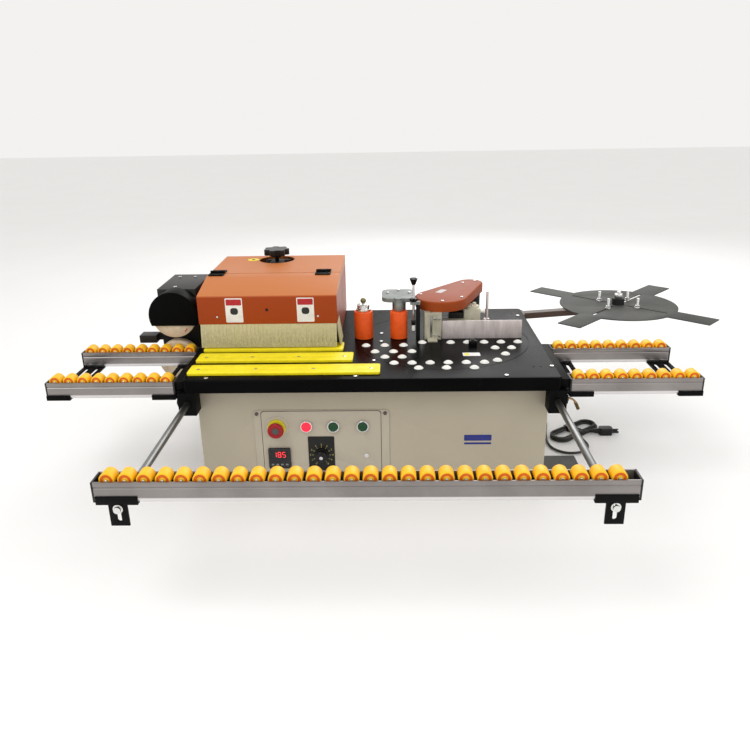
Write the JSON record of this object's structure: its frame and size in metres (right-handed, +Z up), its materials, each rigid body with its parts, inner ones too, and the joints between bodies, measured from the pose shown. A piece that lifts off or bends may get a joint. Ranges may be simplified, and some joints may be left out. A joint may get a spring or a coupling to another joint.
{
  "type": "edge banding machine",
  "caption": "Benchtop edge banding machine with hooded trimming unit, buffing wheels, glue and press rollers, control panel, roller supports and tape tray.",
  "frame": {"origin": "middle of the base plate's underside, on the surface the machine stands on", "axes": "+X to the operator's right, +Y away from the operator, +Z up"},
  "size_m": [1.7885, 1.3565, 0.513],
  "materials": {
    "cabinet_paint": "fine satin texture",
    "panel_paint": "satin",
    "dark_sheet": "satin",
    "black_paint": "semi gloss",
    "table_enamel": "gloss",
    "orange_paint": "hammered gloss",
    "bright_steel": "polished",
    "stainless": "brushed",
    "cutter_steel": "ground",
    "extrusion": "anodised satin",
    "casting": "cast, matt",
    "glue_casting": "cast, matt",
    "roller_plastic": "satin",
    "strip_plastic": "satin",
    "pad_plastic": "satin",
    "press_rubber": "ground",
    "buff_cloth": "stitched cloth",
    "bristles": "fine bristles",
    "black_plastic": "satin",
    "display_plastic": "gloss",
    "red_plastic": "gloss",
    "lamp_red": "lit",
    "green_plastic": "gloss",
    "brown_paint": "worn",
    "copper": "worn",
    "cord_rubber": "satin"
  },
  "bodies": {
    "machine": {"cabinet_shell": "cabinet_paint", "base_plate": "dark_sheet", "control_panel": "panel_paint", "button_bezels": "bright_steel", "display_unit": "display_plastic", "dial_plate": "black_plastic", "control_box": "dark_sheet", "screws": "bright_steel", "table_top": "table_enamel", "slide_pads": "pad_plastic", "guide_strips": "strip_plastic", "fence": "stainless", "roller_spindles": "bright_steel", "roller_bracket": "casting", "glue_unit": "glue_casting", "belt_cover": "orange_paint", "feed_motor": "black_paint", "hood_body": "orange_paint", "hood_hinges": "black_paint", "side_curtain": "bristles", "trim_column": "casting", "lower_trimmer": "casting", "buff_housing": "dark_sheet", "buff_guard": "black_paint", "rod_clamps": "black_paint", "wing_rails": "extrusion", "wing_rollers": "roller_plastic", "wing_brackets": "black_paint", "air_nozzle": "copper", "tray_arm": "brown_paint", "cable_gland": "black_plastic", "power_cord": "cord_rubber", "cord_hank": "cord_rubber", "power_plug": "black_plastic"},
    "front_support": {"front_rail": "extrusion", "front_rollers": "roller_plastic", "rail_clips": "black_paint", "support_rods": "bright_steel"},
    "rod_knob_left": {"rod_knob_left": "black_plastic"},
    "rod_knob_right": {"rod_knob_right": "black_plastic"},
    "flap": {"hood_flap": "orange_paint", "front_curtain": "bristles"},
    "height_knob": {"height_knob": "black_plastic"},
    "upper_trimmer": {"upper_trimmer": "casting"},
    "upper_cutter": {"upper_cutter": "cutter_steel"},
    "lower_cutter": {"lower_cutter": "cutter_steel"},
    "press_roller_left": {"press_roller_left": "press_rubber"},
    "press_roller_right": {"press_roller_right": "press_rubber"},
    "glue_roller": {"glue_roller": "stainless"},
    "adjust_screw": {"adjust_screw": "black_plastic"},
    "fence_knob": {"fence_knob": "black_plastic"},
    "upper_buff_wheel": {"upper_buff_wheel": "buff_cloth"},
    "lower_buff_wheel": {"lower_buff_wheel": "buff_cloth"},
    "estop_button": {"estop_button": "red_plastic"},
    "red_button": {"red_button": "lamp_red"},
    "green_button_left": {"green_button_left": "green_plastic"},
    "green_button_right": {"green_button_right": "green_plastic"},
    "dial_knob": {"dial_knob": "black_plastic"},
    "tape_tray": {"tape_tray": "dark_sheet"}
  },
  "joints": [
    {"name": "front_support_slide", "type": "slide", "parent": "machine", "child": "front_support", "axis": [0, 1, 0], "range_m": [0, 0.41]},
    {"name": "left_clamp_turn", "type": "hinge", "parent": "machine", "child": "rod_knob_left", "pos_m": [-0.46, -0.28, 0.249], "axis": [-1, 0, 0], "range_deg": [-720, 0]},
    {"name": "right_clamp_turn", "type": "hinge", "parent": "machine", "child": "rod_knob_right", "pos_m": [0.46, -0.28, 0.249], "axis": [1, 0, 0], "range_deg": [-720, 0]},
    {"name": "flap_swing", "type": "hinge", "parent": "machine", "child": "flap", "pos_m": [-0.274, 0.084, 0.4845], "axis": [-1, 0, 0], "range_deg": [0, 110]},
    {"name": "height_knob_turn", "type": "hinge", "parent": "machine", "child": "height_knob", "pos_m": [-0.293, 0.262, 0.505], "axis": [0, 0, 1], "range_deg": [-1440, 1440]},
    {"name": "trimmer_lift", "type": "slide", "parent": "machine", "child": "upper_trimmer", "axis": [0, 0, 1], "range_m": [-0.008, 0.008]},
    {"name": "upper_cutter_spin", "type": "hinge", "parent": "upper_trimmer", "child": "upper_cutter", "pos_m": [-0.293, 0.0035, 0.35], "axis": [0, 0, 1], "continuous": true},
    {"name": "lower_cutter_spin", "type": "hinge", "parent": "machine", "child": "lower_cutter", "pos_m": [-0.2, 0.0035, 0.325], "axis": [0, 0, 1], "continuous": true},
    {"name": "left_press_spin", "type": "hinge", "parent": "machine", "child": "press_roller_left", "pos_m": [-0.027, 0.0195, 0.35], "axis": [0, 0, 1], "continuous": true},
    {"name": "right_press_spin", "type": "hinge", "parent": "machine", "child": "press_roller_right", "pos_m": [0.0695, 0.0175, 0.35], "axis": [0, 0, 1], "continuous": true},
    {"name": "glue_roller_spin", "type": "hinge", "parent": "machine", "child": "glue_roller", "pos_m": [0.157, 0.0105, 0.35], "axis": [0, 0, 1], "continuous": true},
    {"name": "adjust_screw_turn", "type": "hinge", "parent": "machine", "child": "adjust_screw", "pos_m": [0.109, 0, 0.42], "axis": [0, 0, 1], "range_deg": [-1080, 1080]},
    {"name": "fence_knob_turn", "type": "hinge", "parent": "machine", "child": "fence_knob", "pos_m": [0.265, -0.054, 0.315], "axis": [0, 0, 1], "range_deg": [0, 720]},
    {"name": "upper_buff_spin", "type": "hinge", "parent": "machine", "child": "upper_buff_wheel", "pos_m": [-0.537, 0, 0.389], "axis": [0, 1, 0], "continuous": true},
    {"name": "lower_buff_spin", "type": "hinge", "parent": "machine", "child": "lower_buff_wheel", "pos_m": [-0.537, 0, 0.264], "axis": [0, 1, 0], "continuous": true},
    {"name": "estop_press", "type": "slide", "parent": "machine", "child": "estop_button", "axis": [0, 1, 0], "range_m": [0, 0.004], "stiffness_N_per_m": 250},
    {"name": "red_press", "type": "slide", "parent": "machine", "child": "red_button", "axis": [0, 1, 0], "range_m": [0, 0.003], "stiffness_N_per_m": 250},
    {"name": "green_left_press", "type": "slide", "parent": "machine", "child": "green_button_left", "axis": [0, 1, 0], "range_m": [0, 0.003], "stiffness_N_per_m": 250},
    {"name": "green_right_press", "type": "slide", "parent": "machine", "child": "green_button_right", "axis": [0, 1, 0], "range_m": [0, 0.003], "stiffness_N_per_m": 250},
    {"name": "dial_turn", "type": "hinge", "parent": "machine", "child": "dial_knob", "pos_m": [-0.129, -0.27, 0.091], "axis": [0, -1, 0], "range_deg": [-150, 150]},
    {"name": "tray_spin", "type": "hinge", "parent": "machine", "child": "tape_tray", "pos_m": [0.762, 0.335, 0.31], "axis": [0, 0, 1], "continuous": true}
  ],
  "couplings": [
    {"joint": "height_knob_turn", "follows": "trimmer_lift", "rad_per_m": -3141.6},
    {"joint": "right_press_spin", "follows": "glue_roller_spin", "ratio": 0.5957}
  ]
}
